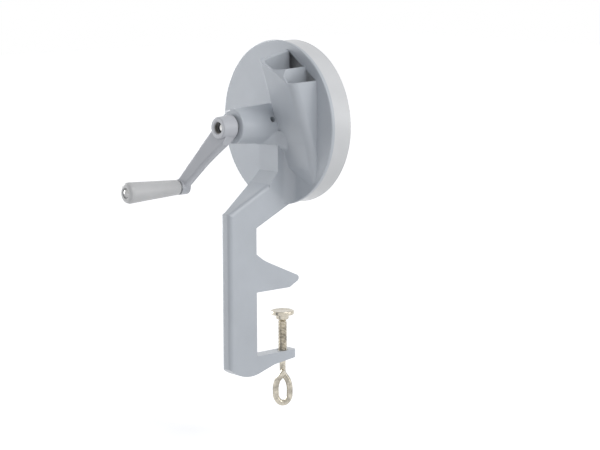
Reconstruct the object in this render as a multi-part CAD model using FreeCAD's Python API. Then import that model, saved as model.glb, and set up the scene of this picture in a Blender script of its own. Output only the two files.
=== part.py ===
import FreeCAD
import Part
import math
import os

os.makedirs("parts", exist_ok=True)

# Bean slicer with crank, clamped to a table. Millimetres.
# X runs along the table edge, Y from the crank towards the knife wheel, Z up.
# The shaft axis has x = 0, the table's edge y = 0 and the table top z = 0.

# Housing plate and its shaft boss
disc_radius = 70.0
axis_height = 140.0
plate_back = 36.7
plate_thickness = 3.0
plate_front = plate_back + plate_thickness
wheel_gap = 0.5
boss_end = -12.7
boss_end_radius = 14.7
boss_root_radius = 17.3
oil_hole_radius = 2.5
oil_hole_place = 19.0
oil_hole_angle = 71.0

# Feed chutes, measured from the shaft axis and out from the plate
chute_left = 13.8
chute_right = 51.0
chute_draft = 3.8
chute_slope = 0.33
chute_start = 12.6
chute_wall = 2.0
chute_knee = -14.0
chute_foot = -36.5
chute_foot_reach = 3.2
chute_toe_left = -39.2
chute_toe_right = -52.0
chute_round = 7.0
web_centre = 36.0
web_thickness = 2.5
mouth_slope = -0.67
mouth_height = 62.0
mouth_fall = 0.24
level_fall = 0.05
web_top = 49.6
right_top = 38.7
right_drop = -1.35
rim_bevel = 2.5
rim_foot = 36.0

# Stand: post, raised arm, jaw and clamp arm share one width
stand_centre = 10.25
stand_width = 12.3
stand_depth = 29.4
stand_round = 3.8
bend_height = 68.7
arm_rise = 0.495
arm_under_start = 55.1
arm_under_end = 72.2
rib_back = 23.5
flare_left = -14.4
jaw_height = 32.3
jaw_tip = 46.6
jaw_seat = 36.3
throat = 55.0
clamp_arm_tip = 44.0
clamp_arm_thickness = 6.8

# Shaft, bushes and the parts on them
shaft_radius = 6.0
neck_radius = 5.0
tail_radius = 4.0
running_clearance = 0.04
thread_clearance = 0.05
bush_radius = 8.0
bush_length = 14.0
bush_flange_radius = 10.5
bush_flange = 1.2
thrust_washer_thickness = 1.2
gap = 0.3
hub_face = -28.1
hub_outer_radius = 9.0
hub_inner_radius = 10.3
shaft_recess = 4.5

# Crank
crank_x = -38.9
crank_drop = 52.3
crank_arm_back = -24.4
crank_arm_back_end = -39.5
crank_arm_front = -14.6
crank_arm_front_end = -31.9
crank_over_hub = 7.8
crank_over_end = 6.4
crank_under = 4.7
crank_flare = 6.4
crank_flare_end = 37.0
crank_boss_radius = 6.6
crank_boss_back = -39.7
crank_boss_front = -30.7
grip_length = 53.8
grip_end_radius = 9.0
grip_root_radius = 6.4
grip_washer = 0.8
pin_radius = 3.0
pin_head_radius = 3.6
pin_head_height = 1.8

# Knife wheel
wheel_far = 58.9
wheel_near_radius = 67.8
wheel_far_radius = 69.4
wheel_rim = 3.2
web_back = 44.9
wheel_web = 3.0
wheel_hub_radius = 13.0
knife_count = 3
knife_turn = -15.0
knife_length = 38.0
knife_foot = 10.0
knife_thickness = 1.2
knife_tilt = 22.0
knife_edge = 6.2
knife_reach = 3.3
knife_middle = 42.5
knife_screw_radius = 2.0
drive_pin_radius = 2.0

# Clamp screw
screw_y = 33.2
screw_radius = 4.0
screw_top = -23.6
screw_shoulder = -64.6
wire_radius = 2.6
loop_width = 8.6
loop_bottom = -104.5
pad_radius = 10.0
pad_top = -20.5
pad_thickness = 3.4
ball_radius = 3.0


def vec(x, y, z):
    return FreeCAD.Vector(x, y, z)


def cyl_y(radius, y0, y1, x=0.0, z=axis_height):
    return Part.makeCylinder(radius, y1 - y0, vec(x, y0, z), vec(0, 1, 0))


def cone_y(r0, r1, y0, y1, x=0.0, z=axis_height):
    return Part.makeCone(r0, r1, y1 - y0, vec(x, y0, z), vec(0, 1, 0))


def ring_y(outer, inner, y0, y1, x=0.0, z=axis_height):
    return cyl_y(outer, y0, y1, x, z).cut(cyl_y(inner, y0 - 1, y1 + 1, x, z))


def cyl_z(radius, z0, z1, x=stand_centre, y=screw_y):
    return Part.makeCylinder(radius, z1 - z0, vec(x, y, z0), vec(0, 0, 1))


def box(x0, x1, y0, y1, z0, z1):
    return Part.makeBox(x1 - x0, y1 - y0, z1 - z0, vec(x0, y0, z0))


def prism_x(outline, x0, x1):
    # a closed outline of (y, z) points, run from x0 to x1
    points = [vec(x0, y, z) for y, z in outline]
    face = Part.Face(Part.makePolygon(points + points[:1]))
    return face.extrude(vec(x1 - x0, 0, 0))


def prism_y(outline, y0, y1):
    # a closed outline of (x, z) points, run from y0 to y1
    points = [vec(x, y0, z) for x, z in outline]
    face = Part.Face(Part.makePolygon(points + points[:1]))
    return face.extrude(vec(0, y1 - y0, 0))


def wire_x(x, pieces):
    # pieces are lines of two points and arcs of three, all (y, z), end to end
    edges = []
    for piece in pieces:
        points = [vec(x, y, z) for y, z in piece]
        if len(points) == 2:
            edges.append(Part.makeLine(points[0], points[1]))
        else:
            edges.append(Part.Arc(points[0], points[1], points[2]).toShape())
    return Part.Wire(edges)


def shaped_x(pieces, x0, x1):
    return Part.Face(wire_x(x0, pieces)).extrude(vec(x1 - x0, 0, 0))


def edges_near(shape, test):
    return [e for e in shape.Edges if test(e)]


def along(edge, direction):
    if len(edge.Vertexes) < 2:
        return False
    run = edge.Vertexes[1].Point.sub(edge.Vertexes[0].Point)
    if run.Length < 1e-6:
        return False
    return abs(run.normalize().dot(direction)) > 0.999


def save(name, shape):
    # written about the middle of the jaw's seat, one solid as that solid and like pieces as a group
    moved = shape.copy()
    moved.translate(vec(-stand_centre, -jaw_seat / 2, 0))
    solids = moved.Solids
    if len(solids) == 1:
        shape = solids[0]
    else:
        shape = Part.makeCompound(solids)
    shape.exportStep("parts/" + name + ".step")
    print(name, len(solids), round(shape.Volume, 1), shape.isValid())


# Stand

stand_left = stand_centre - stand_width / 2
stand_right = stand_centre + stand_width / 2
clamp_under = -throat - clamp_arm_thickness
arm_top_end = bend_height + arm_rise * (plate_back + 1.0 + stand_depth)

post_outline = [
    [(-stand_depth, -62.5), (-stand_depth, bend_height)],
    [(-stand_depth, bend_height), (plate_back + 1.0, arm_top_end)],
    [(plate_back + 1.0, arm_top_end), (plate_back + 1.0, arm_under_end + 0.5)],
    [(plate_back + 1.0, arm_under_end + 0.5), (0, arm_under_start)],
    [(0, arm_under_start), (0, -throat)],
    [(0, -throat), (clamp_arm_tip, -throat)],
    [(clamp_arm_tip, -throat), (clamp_arm_tip, clamp_under)],
    [(clamp_arm_tip, clamp_under), (19.0, clamp_under - 3.0)],
    [(19.0, clamp_under - 3.0), (4.5, -69.2)],
    [(4.5, -69.2), (-10.5, -71.2), (-stand_depth, -62.5)],
]
stand = shaped_x(post_outline, stand_left, stand_right)


def rear_edge(edge):
    # the long edges of the post's back and of the raised arm's top
    c = edge.CenterOfMass
    side = min(abs(c.x - stand_left), abs(c.x - stand_right)) < 0.01
    on_post = abs(c.y + stand_depth) < 0.01 and c.z > -60
    on_arm = abs(c.z - (bend_height + arm_rise * (c.y + stand_depth))) < 0.05
    return side and (on_post or on_arm)


stand = stand.makeFillet(stand_round, edges_near(stand, rear_edge))


def tip_edge(edge):
    c = edge.CenterOfMass
    return abs(c.y - clamp_arm_tip) < 0.01 and along(edge, vec(0, 0, 1))


stand = stand.makeFillet(3.2, edges_near(stand, tip_edge))


def inner_edge(edge):
    # the long edges of the post's face towards the table
    c = edge.CenterOfMass
    return abs(c.y) < 0.01 and along(edge, vec(0, 0, 1))


stand = stand.makeFillet(0.8, edges_near(stand, inner_edge))

jaw_outline = [
    [(-2.0, 0.0), (-2.0, jaw_height + 2.0)],
    [(-2.0, jaw_height + 2.0), (0.6, jaw_height - 0.4)],
    [(0.6, jaw_height - 0.4), (7.0, 27.2), (14.0, 23.6)],
    [(14.0, 23.6), (44.4, 10.0)],
    [(44.4, 10.0), (jaw_tip, 7.0), (44.4, 4.2)],
    [(44.4, 4.2), (jaw_seat, 0.0)],
    [(jaw_seat, 0.0), (-2.0, 0.0)],
]
jaw = shaped_x(jaw_outline, stand_left, stand_right)

# the raised arm spreads under the boss towards the shaft's side
flare_drop = 15.0
flare_outline = [
    (-stand_depth + 0.4, bend_height + 0.2),
    (plate_back + 1.0, arm_top_end),
    (plate_back + 1.0, arm_top_end - flare_drop),
    (-stand_depth + 16.0, bend_height - 4.0),
]
flare = prism_x(flare_outline, flare_left, stand_centre)
flare_cut = Part.Face(Part.makePolygon([
    vec(flare_left - 20, -60, 0),
    vec(stand_left + 4.0, -60, 0),
    vec(stand_left + 4.0, -stand_depth, 0),
    vec(flare_left, 29.0, 0),
    vec(flare_left, 60.0, 0),
    vec(flare_left - 20, 60.0, 0),
    vec(flare_left - 20, -60, 0),
])).extrude(vec(0, 0, 200))
flare = flare.cut(flare_cut)

rib_left = -7.7
rib_right = stand_right
rib_foot = bend_height + arm_rise * (rib_back + stand_depth)
rib_outline = [
    (rib_back, rib_foot + 5.2),
    (rib_back, axis_height),
    (plate_back + 1.0, axis_height),
    (plate_back + 1.0, rib_foot - 8.0),
    (rib_back - 9.0, rib_foot - 8.0),
    (rib_back - 9.0, rib_foot - 9.0 * arm_rise),
]
rib = prism_x(rib_outline, rib_left, rib_right)

# Housing plate with the boss

plate = cyl_y(disc_radius, plate_back, plate_front)
plate = plate.makeFillet(0.9, [e for e in plate.Edges if abs(e.CenterOfMass.y - plate_back) < 0.01])
boss = cone_y(boss_end_radius, boss_root_radius, boss_end, plate_back + 1.0)
boss = boss.makeFillet(1.2, [e for e in boss.Edges if abs(e.CenterOfMass.y - boss_end) < 0.01])

# Feed chutes. Outward distance from the plate is called reach.


def chute_reach(z):
    # how far the front wall stands off the plate at height z over the axis
    return chute_start + chute_slope * z


def place(x, reach, z):
    return vec(x, plate_back - reach, axis_height + z)


def mouth_z(x):
    return mouth_height + mouth_slope * (x - 15.0)


sink = 1.5
outer_outline = [
    (plate_back + sink, axis_height + chute_foot),
    (plate_back - chute_foot_reach, axis_height + chute_foot),
    (plate_back - chute_reach(chute_knee), axis_height + chute_knee),
    (plate_back - chute_reach(80), axis_height + 80),
    (plate_back + sink, axis_height + 80),
]
chute = prism_x(outer_outline, chute_left, chute_right)


def quad_x(x, points):
    corners = [vec(x, y, axis_height + z) for y, z in points]
    return Part.makePolygon(corners + corners[:1])


def foot_section(x, toe):
    return quad_x(x, [
        (plate_back + sink, chute_foot),
        (plate_back - chute_foot_reach, chute_foot),
        (plate_back, toe),
        (plate_back + sink, toe),
    ])


# the foot bevels back to the plate, lower on its right
foot_left = foot_section(chute_left, chute_toe_left)
foot_right = foot_section(chute_right, chute_toe_right)
foot = Part.makeLoft([foot_left, foot_right], True, True)
chute = chute.fuse(foot)
# the right wall leans in towards its front
lean_share = chute_draft / 27.0
lean = [
    vec(chute_right + 0.01, plate_back, axis_height - 60),
    vec(chute_right + 20, plate_back, axis_height - 60),
    vec(chute_right + 20, plate_back - 60, axis_height - 60),
    vec(chute_right - lean_share * 60, plate_back - 60, axis_height - 60),
]
chute = chute.cut(Part.Face(Part.makePolygon(lean + lean[:1])).extrude(vec(0, 0, 160)))


def rounded(body, corner, face_a, face_b, radius):
    # rounds the straight edge through corner between two faces given by their outward normals
    normal_a = vec(*face_a).normalize()
    normal_b = vec(*face_b).normalize()
    run = normal_a.cross(normal_b).normalize()
    inward = (normal_a + normal_b) * (-radius / (1 + normal_a.dot(normal_b)))
    start = corner - run * 200
    axis = start + inward
    outline = [
        start - inward * 0.2,
        axis + normal_a * radius + normal_a * 0.5,
        axis + normal_a * radius,
        axis,
        axis + normal_b * radius,
        axis + normal_b * radius + normal_b * 0.5,
    ]
    tool = Part.Face(Part.makePolygon(outline + outline[:1])).extrude(run * 400)
    tool = tool.cut(Part.makeCylinder(radius, 402, axis - run, run))
    return body.cut(tool)


front_normal = (0, -1, -chute_slope)
right_normal = (1, -lean_share, 0)
left_normal = (-1, 0, 0)
right_corner = place(chute_right - lean_share * chute_reach(0), chute_reach(0), 0)
left_corner = place(chute_left, chute_reach(0), 0)
knee = axis_height + chute_knee
upper = chute.common(box(0, 90, -60, 60, knee, knee + 160))
upper = rounded(upper, right_corner, front_normal, right_normal, chute_round)
upper = rounded(upper, left_corner, left_normal, front_normal, 1.6)
# below the knee the front wall falls less steeply, so its edges are rounded along lines of their own
knee_reach = chute_reach(chute_knee)
lower_normal = (0, chute_foot - chute_knee, chute_foot_reach - knee_reach)
right_knee = place(chute_right - lean_share * knee_reach, knee_reach, chute_knee)
left_knee = place(chute_left, knee_reach, chute_knee)
lower = chute.common(box(0, 90, -60, 60, knee - 80, knee))
lower = rounded(lower, right_knee, lower_normal, right_normal, chute_round)
lower = rounded(lower, left_knee, left_normal, lower_normal, 1.6)
chute = upper.fuse(lower)

web_left = web_centre - web_thickness / 2
web_right = web_centre + web_thickness / 2


def over(x0, x1, at_plate, along_x, along_y):
    # all that lies over the plane z = at_plate + along_x * x + along_y * (y - plate_back)
    y0 = -20.0
    y1 = plate_back + sink + 1.0
    points = []
    for x, y in [(x0, y0), (x1, y0), (x1, y1), (x0, y1)]:
        height = at_plate + along_x * x + along_y * (y - plate_back)
        points.append(vec(x, y, axis_height + height))
    return Part.Face(Part.makePolygon(points + points[:1])).extrude(vec(0, 0, 140))


# each mouth falls along X to a level top: the web's for the left chute, the right wall's for the right one
left_over = over(0, web_left, mouth_height - 15.0 * mouth_slope, mouth_slope, mouth_fall)
left_over = left_over.common(over(0, web_left, web_top, 0, level_fall))
right_start = web_top - 5.3
right_over = over(web_right, 70, right_start - right_drop * web_right, right_drop, level_fall)
right_over = right_over.common(over(web_right, 70, right_top, 0, level_fall))
chute = chute.cut(left_over)
chute = chute.cut(over(web_left - 0.01, web_right + 0.01, web_top, 0, level_fall))
chute = chute.cut(right_over)
# a steep bevel brings the front wall's outer edge down along one straight line
bevel_over = over(0, 70, 154.5, -1.3325, rim_bevel).common(over(0, 70, rim_foot, 0, 0))
chute = chute.cut(bevel_over)
chute = chute.common(cyl_y(disc_radius - 3.0, -20, plate_back + sink))

# passages: each opens at the mouth and through the plate to the wheel
passage_foot = -24.0


def passage(x0, x1, lean, round_left, round_right):
    inner = chute_start - chute_wall
    outline = [
        (plate_back + window_lip, axis_height + passage_foot),
        (plate_back - inner - chute_slope * passage_foot, axis_height + passage_foot),
        (plate_back - inner - chute_slope * 90, axis_height + 90),
        (plate_back + window_lip, axis_height + 90),
    ]
    body = prism_x(outline, x0, x1)
    if lean > 0:
        side = [
            vec(x1 + 0.01, plate_back, axis_height - 60),
            vec(x1 + 20, plate_back, axis_height - 60),
            vec(x1 + 20, plate_back - 60, axis_height - 60),
            vec(x1 - lean * 60, plate_back - 60, axis_height - 60),
        ]
        body = body.cut(Part.Face(Part.makePolygon(side + side[:1])).extrude(vec(0, 0, 160)))
    body = rounded(body, place(x0, inner, 0), left_normal, front_normal, round_left)
    return rounded(body, place(x1 - lean * inner, inner, 0), front_normal, (1, -lean, 0), round_right)


window_lip = 0.8
passage_left = passage(chute_left + chute_wall, web_left, 0, 3.5, 6.0)
passage_right = passage(web_right, chute_right - chute_wall, lean_share, 2.5, chute_round - chute_wall)
# past a thin lip both passages open into one window in the plate, up to the mouth's line
window = box(
    chute_left - 0.6, chute_right - chute_wall, plate_back + window_lip, plate_front + 1.0,
    axis_height + passage_foot, axis_height + 90)
window_top = [
    (chute_left - 10, axis_height + mouth_z(chute_left - 10)),
    (chute_right + 10, axis_height + mouth_z(chute_right + 10)),
    (chute_right + 10, axis_height + 120),
    (chute_left - 10, axis_height + 120),
]
window_stop = prism_y(window_top, plate_back, plate_front + 2.0)
passages = passage_left.fuse([passage_right, window]).cut(window_stop)


def level_section(z, points):
    corners = [vec(x, y, axis_height + z) for x, y in points]
    return Part.makePolygon(corners + corners[:1])


# the metal is filled out where the boss, the rib and the chutes' front meet
fill_level = -16.5
fill_low = [(2, 12), (rib_right, rib_back), (17.4, 24.9), (24, 31), (24, 37), (2, 37)]
fill_high = [(13.5, 10), (15.4, 22.5), (18.5, 25.9), (26, 27.5), (26, 37), (2, 37)]
fill = Part.makeLoft([level_section(fill_level, fill_low), level_section(-5.0, fill_high)], True, True)
gusset_low = [(15.5, 31.8), (rib_right, 32), (18.0, 32.3), (25, 33), (25, 37), (15.5, 37)]
gusset_high = [(15.5, 23.7), (rib_right, rib_back), (17.4, 24.9), (24, 31), (24, 37), (15.5, 37)]
gusset = Part.makeLoft([level_section(-25.0, gusset_low), level_section(fill_level, gusset_high)], True, True)

# a hollow round runs up the corner between the stand's side and the plate
cove_start = 60.0
cove_radius = 9.5
cove_share = cove_radius * (1 - math.sqrt(0.5))
cove_inner = vec(stand_right - 0.5, plate_back + 0.5, cove_start)
cove_outer = vec(stand_right + cove_radius, plate_back + 0.5, cove_start)
cove_low = vec(stand_right, plate_back - cove_radius, cove_start)
cove_high = vec(stand_right + cove_radius, plate_back, cove_start)
cove_middle = vec(stand_right + cove_share, plate_back - cove_share, cove_start)
cove_corner = vec(stand_right - 0.5, plate_back - cove_radius, cove_start)
cove_edges = [
    Part.makeLine(cove_inner, cove_corner),
    Part.makeLine(cove_corner, cove_low),
    Part.Arc(cove_low, cove_middle, cove_high).toShape(),
    Part.makeLine(cove_high, cove_outer),
    Part.makeLine(cove_outer, cove_inner),
]
cove = Part.Face(Part.Wire(cove_edges)).extrude(vec(0, 0, axis_height - 19.0 - cove_start))
under_slope = (arm_under_end + 0.5 - arm_under_start) / (plate_back + 1.0)
under_outline = [
    (-10, arm_under_start - 10 * under_slope),
    (60, arm_under_start + 60 * under_slope),
    (60, 0),
    (-10, 0),
]
cove = cove.cut(prism_x(under_outline, 0, 60)).common(cyl_y(disc_radius - 0.9, 20, plate_back + 0.5))

casting = stand.fuse([jaw, flare, rib, plate, boss, chute, fill, gusset, cove])
casting = casting.cut(passages)
casting = casting.cut(cyl_y(bush_radius, boss_end - 1, plate_front + 1))
flange_seat = cyl_y(bush_flange_radius + gap, plate_front - bush_flange, plate_front + 1)
casting = casting.cut(flange_seat)
casting = casting.cut(cyl_z(screw_radius + thread_clearance, clamp_under - 6, -throat + 1))
casting = casting.cut(Part.makeCone(
    screw_radius, screw_radius + 1.0, 1.0, vec(stand_centre, screw_y, -throat - 0.95), vec(0, 0, 1)))
oil_turn = math.radians(oil_hole_angle)
oil_way = vec(math.sin(oil_turn), 0, math.cos(oil_turn))
oil_start = vec(0, oil_hole_place, axis_height) + oil_way * 7.0
oil_hole = Part.makeCylinder(oil_hole_radius, 12.0, oil_start, oil_way)
casting = casting.cut(oil_hole)
casting = casting.removeSplitter()
save("body_casting", casting)

# Bushes, pressed in at both ends of the boss; the oil space lies between them

bush_bore = shaft_radius + running_clearance
bush_rear = ring_y(bush_radius, bush_bore, boss_end, boss_end + bush_length)
save("bearing_bush_rear", bush_rear)
bush_front = ring_y(bush_radius, bush_bore, plate_front - bush_length, plate_front)
bush_front = bush_front.fuse(ring_y(bush_flange_radius, bush_bore, plate_front - bush_flange, plate_front))
save("bearing_bush_front", bush_front.removeSplitter())

# Shaft: a neck for the crank, a journal, and a stepped tail for the wheel

journal_end = plate_front + 1.6
hub_seat = boss_end - gap - thrust_washer_thickness - gap
shaft = cyl_y(neck_radius - thread_clearance, hub_face + shaft_recess, hub_seat + 0.5)
shaft_end = hub_face + shaft_recess
shaft = shaft.makeChamfer(0.8, [e for e in shaft.Edges if abs(e.CenterOfMass.y - shaft_end) < 0.01])
shaft = shaft.fuse(cyl_y(shaft_radius, hub_seat, journal_end))
wheel_hub_end = 51.0
shaft = shaft.fuse(cyl_y(neck_radius, journal_end - 0.5, wheel_hub_end - 0.8))
tail = cyl_y(tail_radius - thread_clearance, wheel_hub_end - 2.0, 64.0)
tail = tail.makeChamfer(0.8, [e for e in tail.Edges if abs(e.CenterOfMass.y - 64.0) < 0.01])
shaft = shaft.fuse(tail)
pin_place = journal_end + drive_pin_radius + 0.6
drive_pin_length = 20.0
cross_hole = Part.makeCylinder(drive_pin_radius, 40, vec(-20, pin_place, axis_height), vec(1, 0, 0))
shaft = shaft.cut(cross_hole).removeSplitter()
save("drive_shaft", shaft)

drive_pin = Part.makeCylinder(
    drive_pin_radius, drive_pin_length, vec(-drive_pin_length / 2, pin_place, axis_height), vec(1, 0, 0))
drive_pin = drive_pin.makeChamfer(0.4, [e for e in drive_pin.Edges if abs(abs(e.CenterOfMass.x) - 10) < 0.01])
save("drive_pin", drive_pin)

thrust_washer = ring_y(
    9.4, shaft_radius + running_clearance, boss_end - gap - thrust_washer_thickness, boss_end - gap)
save("thrust_washer", thrust_washer)

# Crank

grip_z = axis_height - crank_drop
crank_radius = math.hypot(crank_x, crank_drop)
hub = cone_y(hub_outer_radius, hub_inner_radius, hub_face, hub_seat)
hub = hub.makeFillet(1.0, [e for e in hub.Edges if abs(e.CenterOfMass.y - hub_face) < 0.01])
way_x = crank_x / crank_radius
way_z = -crank_drop / crank_radius
side_x = -way_z
side_z = way_x


def crank_point(distance, offset):
    x = way_x * distance + side_x * offset
    z = axis_height + way_z * distance + side_z * offset
    return (x, z)


def arm_corner(distance, offset):
    x, z = crank_point(distance, offset)
    return vec(x, crank_arm_back_end, z)


# the arm's upper edge is straight, the lower one spreads towards the hub
flare_near = arm_corner(9.5, crank_under + crank_flare)
flare_root = arm_corner(1.5, hub_outer_radius + 0.3)
flare_far = arm_corner(crank_flare_end, crank_under + 1.9)
flare_mid = arm_corner(crank_flare_end * 0.55, crank_under + 4.4)
arm_edges = [
    Part.makeLine(arm_corner(0.0, -crank_over_hub), arm_corner(crank_radius, -crank_over_end)),
    Part.makeLine(arm_corner(crank_radius, -crank_over_end), arm_corner(crank_radius, crank_under)),
    Part.makeLine(arm_corner(crank_radius, crank_under), flare_far),
    Part.Arc(flare_far, flare_mid, flare_near).toShape(),
    Part.makeLine(flare_near, flare_root),
    Part.makeLine(flare_root, arm_corner(0.0, -crank_over_hub)),
]
crank_arm = Part.Face(Part.Wire(arm_edges)).extrude(vec(0, crank_arm_front - crank_arm_back_end, 0))


def wedge_off(body, y_hub, y_end, beyond):
    # planes one face of the arm from y_hub at the shaft to y_end at the grip
    far = y_hub + (y_end - y_hub) * 130 / crank_radius
    outline = [
        vec(0, y_hub, -20),
        vec(-130, far, -20),
        vec(-130, far + beyond, -20),
        vec(0, y_hub + beyond, -20),
    ]
    tool = Part.Face(Part.makePolygon(outline + outline[:1])).extrude(vec(0, 0, 40))
    tool = tool.fuse(box(-0.01, 20, min(y_hub, y_hub + beyond), max(y_hub, y_hub + beyond), -20, 20))
    tool.translate(vec(0, 0, axis_height))
    tool.rotate(vec(0, 0, axis_height), vec(0, 1, 0), -math.degrees(math.atan2(crank_drop, -crank_x)))
    return body.cut(tool)


crank_arm = wedge_off(crank_arm, crank_arm_front, crank_arm_front_end, 30)
crank_arm = wedge_off(crank_arm, crank_arm_back, crank_arm_back_end, -30)


def arm_long_edge(edge):
    # the long edges of the arm, where a side meets its back or front face
    if len(edge.Vertexes) < 2:
        return False
    a = edge.Vertexes[0].Point
    b = edge.Vertexes[1].Point
    return a.sub(b).Length > 25


crank_arm = crank_arm.makeFillet(2.2, edges_near(crank_arm, arm_long_edge))
crank_boss = cyl_y(crank_boss_radius, crank_boss_back, crank_boss_front, crank_x, grip_z)
crank_boss = crank_boss.makeFillet(
    1.2, [e for e in crank_boss.Edges if abs(e.CenterOfMass.y - crank_boss_front) < 0.01])
crank = hub.fuse([crank_arm, crank_boss])
crank = crank.cut(cyl_y(neck_radius, hub_face - 1, hub_seat + 1))
crank = crank.cut(cone_y(neck_radius + 0.7, neck_radius - 0.3, hub_face - 0.01, hub_face + 0.99))
crank = crank.cut(cyl_y(pin_radius, crank_boss_back - 1, crank_boss_front + 1, crank_x, grip_z))
crank = crank.cut(cone_y(
    pin_radius - 0.2, pin_radius + 1.0, crank_boss_front - 1.2, crank_boss_front + 0.01, crank_x, grip_z))
save("crank_arm", crank.removeSplitter())

washer_back = crank_boss_back - grip_washer
pin_bore = pin_radius + running_clearance
save("grip_washer_inner", ring_y(6.0, pin_bore, washer_back, crank_boss_back, crank_x, grip_z))

grip_front = washer_back - gap
grip_back = grip_front - grip_length
grip = cone_y(grip_end_radius, grip_root_radius, grip_back, grip_front, crank_x, grip_z)
grip = grip.makeFillet(3.0, [e for e in grip.Edges if abs(e.CenterOfMass.y - grip_back) < 0.01])
grip = grip.makeFillet(0.6, [e for e in grip.Edges if abs(e.CenterOfMass.y - grip_front) < 0.01])
recess_radius = pin_head_radius + 0.7
recess_depth = 1.8
grip = grip.cut(cyl_y(recess_radius, grip_back - 1, grip_back + recess_depth, crank_x, grip_z))
grip = grip.cut(cyl_y(pin_radius + running_clearance, grip_back - 1, grip_front + 1, crank_x, grip_z))
save("crank_grip", grip)

head_seat = grip_back + recess_depth - gap - grip_washer
outer_washer = ring_y(
    pin_head_radius + 0.3, pin_bore, head_seat, head_seat + grip_washer, crank_x, grip_z)
save("grip_washer_outer", outer_washer)

dome_radius = (pin_head_radius ** 2 + pin_head_height ** 2) / (2 * pin_head_height)
dome = Part.makeSphere(dome_radius, vec(crank_x, head_seat - pin_head_height + dome_radius, grip_z))
dome = dome.common(cyl_y(pin_head_radius, head_seat - pin_head_height - 1, head_seat, crank_x, grip_z))
grip_pin = dome.fuse(cyl_y(pin_radius, head_seat - 0.5, crank_boss_front - 0.8, crank_x, grip_z))
rivet_end = cone_y(
    pin_radius - 0.2, pin_radius + 0.9, crank_boss_front - 1.2, crank_boss_front - 0.1, crank_x, grip_z)
grip_pin = grip_pin.fuse(rivet_end)
save("grip_pin", grip_pin.removeSplitter())

# Knife wheel: a shallow drum, its web set back from the plate so that the edges stand clear

wheel_near = plate_front + wheel_gap
web_front = web_back + wheel_web
rim = cone_y(wheel_near_radius, wheel_far_radius, wheel_near, wheel_far)
rim = rim.cut(cone_y(
    wheel_near_radius - wheel_rim, wheel_far_radius - wheel_rim, wheel_near - 0.01, wheel_far + 0.01))
rim = rim.makeFillet(1.0, [
    e for e in rim.Edges
    if abs(e.CenterOfMass.y - wheel_far) < 0.01 and e.BoundBox.XLength > 2 * wheel_far_radius - 1])
rim = rim.makeFillet(0.8, [
    e for e in rim.Edges
    if abs(e.CenterOfMass.y - wheel_near) < 0.01 and e.BoundBox.XLength > 2 * wheel_near_radius - 1])
wheel = rim.fuse(cyl_y(wheel_near_radius - wheel_rim + 0.8, web_back, web_front))
wheel_hub_back = journal_end
wheel = wheel.fuse(cyl_y(wheel_hub_radius, wheel_hub_back, wheel_hub_end))
wheel = wheel.cut(cyl_y(neck_radius + running_clearance, 30, 70))
# a slot across the hub's near face takes the drive pin
slot_side = drive_pin_radius + running_clearance
wheel = wheel.cut(box(
    -drive_pin_length / 2 - 0.5, drive_pin_length / 2 + 0.5,
    wheel_hub_back - 1, pin_place,
    axis_height - slot_side, axis_height + slot_side))
slot_start = vec(-drive_pin_length / 2 - 0.5, pin_place, axis_height)
wheel = wheel.cut(Part.makeCylinder(slot_side, drive_pin_length + 1.0, slot_start, vec(1, 0, 0)))

tilt = math.radians(knife_tilt)
edge_y = web_back - knife_reach
foot_y = web_front + knife_thickness
back_x = -math.cos(tilt)
back_y = math.sin(tilt)
bend_near = knife_edge + back_x * (web_front - edge_y) / back_y
rise = foot_y - edge_y - knife_thickness * math.cos(tilt)
bend_far = knife_edge + knife_thickness * back_y + back_x * rise / back_y
foot_end = bend_near - knife_foot
ground = 3.4
knife_outline = [
    (knife_edge, edge_y),
    (knife_edge + 0.12 * back_y, edge_y + 0.12 * math.cos(tilt)),
    (knife_edge + back_x * ground + knife_thickness * back_y,
     edge_y + back_y * ground + knife_thickness * math.cos(tilt)),
    (bend_far, foot_y),
    (foot_end, foot_y),
    (foot_end, web_front),
    (bend_near, web_front),
]
r0 = knife_middle - knife_length / 2
r1 = knife_middle + knife_length / 2
screw_x = foot_end + knife_foot / 2
centre = vec(0, 0, axis_height)


def y_cylinder(radius, x, y, z, length):
    return Part.makeCylinder(radius, length, vec(x, y, z), vec(0, 1, 0))


# one knife is drawn with its edge upright at the top of the wheel, then turned about the shaft
knife_points = [vec(x, y, axis_height + r0) for x, y in knife_outline]
knife_shape = Part.Face(Part.makePolygon(knife_points + knife_points[:1])).extrude(vec(0, 0, knife_length))
slot_shape = box(
    bend_near - 0.4, knife_edge + 1.8,
    web_back - 1, web_front + 1,
    axis_height + r0 - 1.2, axis_height + r1 + 1.2)
slot_shape = slot_shape.makeFillet(1.5, [e for e in slot_shape.Edges if along(e, vec(0, 1, 0))])
screw_shapes = []
thread_shapes = []
for height in (axis_height + r0 + 7.0, axis_height + r1 - 7.0):
    knife_shape = knife_shape.cut(y_cylinder(knife_screw_radius + 0.1, screw_x, web_front - 1, height, 4))
    thread_shapes.append(y_cylinder(knife_screw_radius, screw_x, web_back - 1, height, wheel_web + 2))
    head = y_cylinder(3.6, screw_x, foot_y, height, 2.2)
    head = head.makeFillet(1.2, [e for e in head.Edges if abs(e.CenterOfMass.y - foot_y - 2.2) < 0.01])
    head = head.cut(box(screw_x - 4, screw_x + 4, foot_y + 1.2, foot_y + 3, height - 0.5, height + 0.5))
    shank = y_cylinder(
        knife_screw_radius - thread_clearance, screw_x, web_back + 0.2, height, wheel_web + knife_thickness)
    screw_shapes.append(head.fuse(shank).removeSplitter())


def turned(shape, angle):
    copy = shape.copy()
    copy.rotate(centre, vec(0, 1, 0), angle)
    return copy


knives = []
knife_screws = []
for number in range(knife_count):
    angle = knife_turn + 360.0 / knife_count * number
    knives.append(turned(knife_shape, angle))
    wheel = wheel.cut(turned(slot_shape, angle))
    for thread in thread_shapes:
        wheel = wheel.cut(turned(thread, angle))
    for screw_shape in screw_shapes:
        knife_screws.append(turned(screw_shape, angle))

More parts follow.
